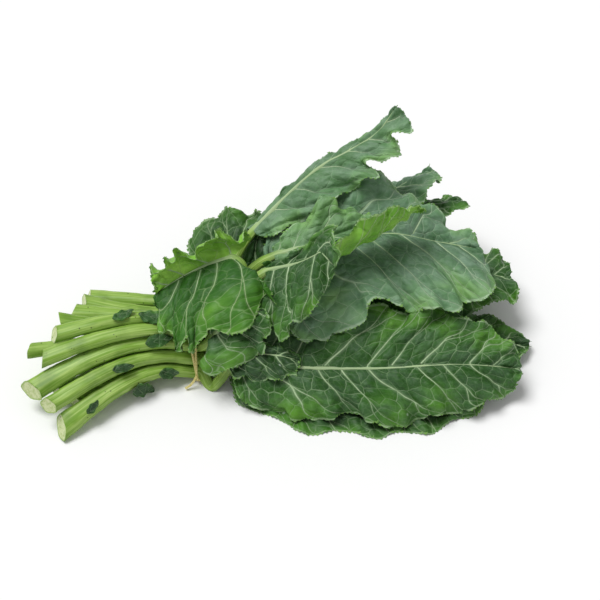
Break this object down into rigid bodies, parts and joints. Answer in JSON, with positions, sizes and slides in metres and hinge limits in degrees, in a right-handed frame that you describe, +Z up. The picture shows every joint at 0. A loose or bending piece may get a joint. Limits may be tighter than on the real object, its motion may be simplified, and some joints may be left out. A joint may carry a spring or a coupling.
{
  "type": "kale bunch",
  "caption": "A bunch of flat-leaf kale lying on its side: long pale stalks tied together at one end, with broad veined leaves overlapping and curling over one another, one standing up.",
  "frame": {"origin": "middle of the footprint, on the surface that the bunch lies on", "axes": "+X runs from the cut ends of the stalks to the leaf tips and is the longest extent, +Z is up, -Y is the front of the bunch"},
  "size_m": [0.4482, 0.2482, 0.1753],
  "materials": {
    "deep_green": "satin",
    "green": "satin",
    "grey_green": "satin",
    "bright_green": "satin",
    "stalk": "satin",
    "tie": "satin"
  },
  "bodies": {
    "root": {"floor_back_stalk": "stalk", "floor_back_blade": "green", "floor_middle_stalk": "stalk", "floor_middle_blade": "deep_green", "floor_front_stalk": "stalk", "floor_front_blade": "deep_green", "low_right_stalk": "stalk", "low_right_blade": "green", "back_low_stalk": "stalk", "back_low_blade": "green", "back_middle_stalk": "stalk", "back_middle_blade": "grey_green", "front_low_stalk": "stalk", "front_low_blade": "green", "back_left_stalk": "stalk", "back_left_blade": "deep_green", "front_under_stalk": "stalk", "front_under_blade": "deep_green", "back_top_stalk": "stalk", "back_top_blade": "deep_green", "top_right_stalk": "stalk", "top_right_blade": "grey_green", "upright_stalk": "stalk", "upright_blade": "grey_green", "middle_top_stalk": "stalk", "middle_top_blade": "grey_green", "curled_stalk": "stalk", "curled_blade": "bright_green", "middle_front_stalk": "stalk", "middle_front_blade": "green", "left_under_stalk": "stalk", "left_under_blade": "green", "left_top_stalk": "stalk", "left_top_blade": "bright_green", "leaflet_1": "green", "leaflet_2": "green", "leaflet_3": "green", "leaflet_4": "deep_green", "leaflet_5": "deep_green", "leaflet_6": "deep_green", "leaflet_7": "deep_green", "tie": "tie"}
  },
  "joints": []
}
